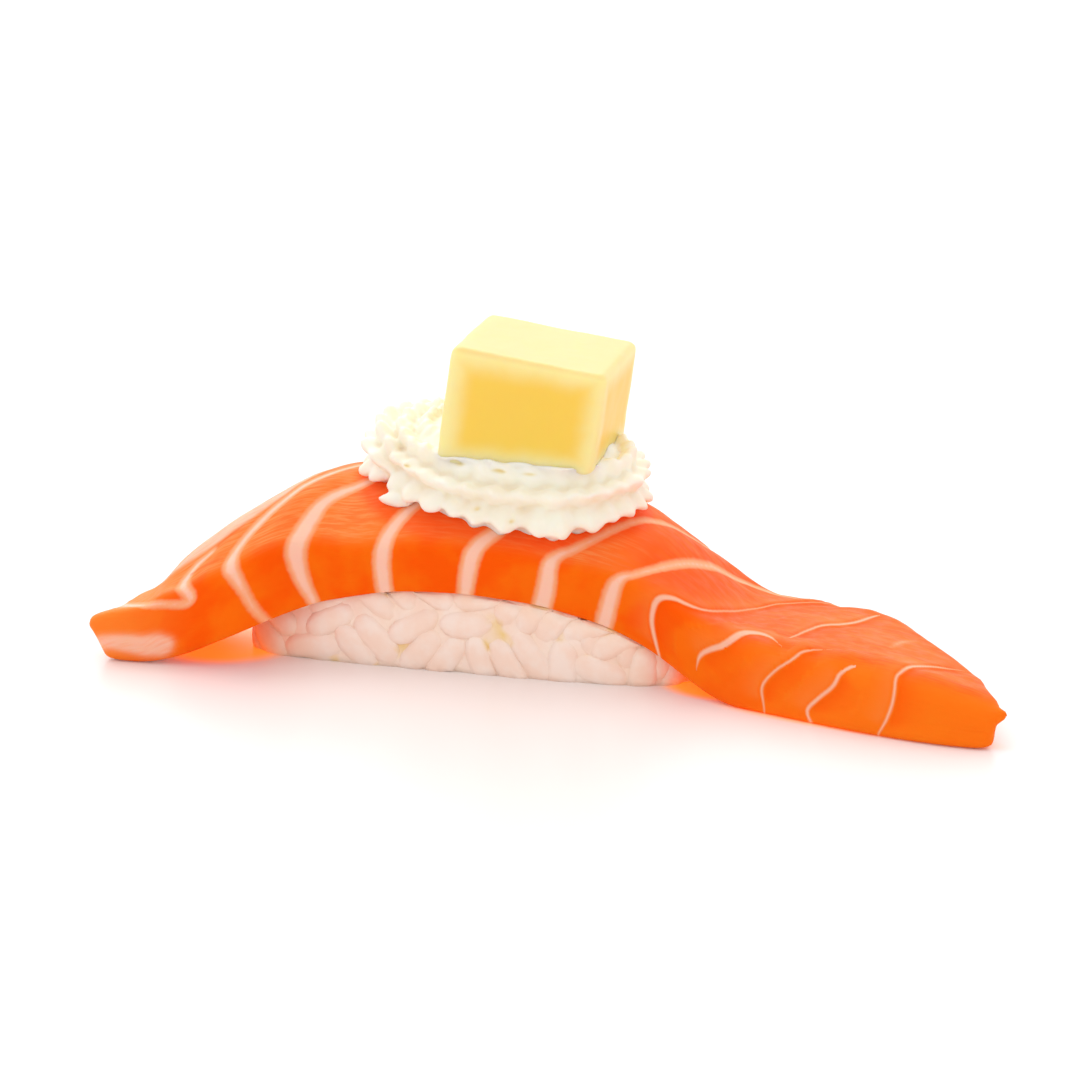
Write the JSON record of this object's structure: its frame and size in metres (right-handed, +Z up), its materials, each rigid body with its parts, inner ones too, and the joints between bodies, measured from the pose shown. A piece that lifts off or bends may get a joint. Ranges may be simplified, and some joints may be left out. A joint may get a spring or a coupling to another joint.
{
  "type": "salmon nigiri",
  "caption": "Salmon nigiri: a long slice of raw salmon arched over a bed of rice, with a piped rosette of cream and a cube of mango on top.",
  "frame": {"origin": "centre of the base: the middle of the bounding box, at the level of the surface that the nigiri stands on", "axes": "+X along the slice towards its thin tail, -Y towards the front where the rice shows, +Z up"},
  "size_m": [0.0934, 0.0366, 0.0327],
  "materials": {
    "cooked_rice": "moist, translucent white grains",
    "raw_salmon": "moist orange flesh with pale pink bands of fat",
    "piped_cream": "soft satin, ivory white",
    "mango_flesh": "moist yellow flesh, paler towards its cut edges"
  },
  "bodies": {
    "root": {"rice_bed": "cooked_rice", "salmon_slice": "raw_salmon", "cream_rosette": "piped_cream", "mango_cube": "mango_flesh"}
  },
  "joints": []
}
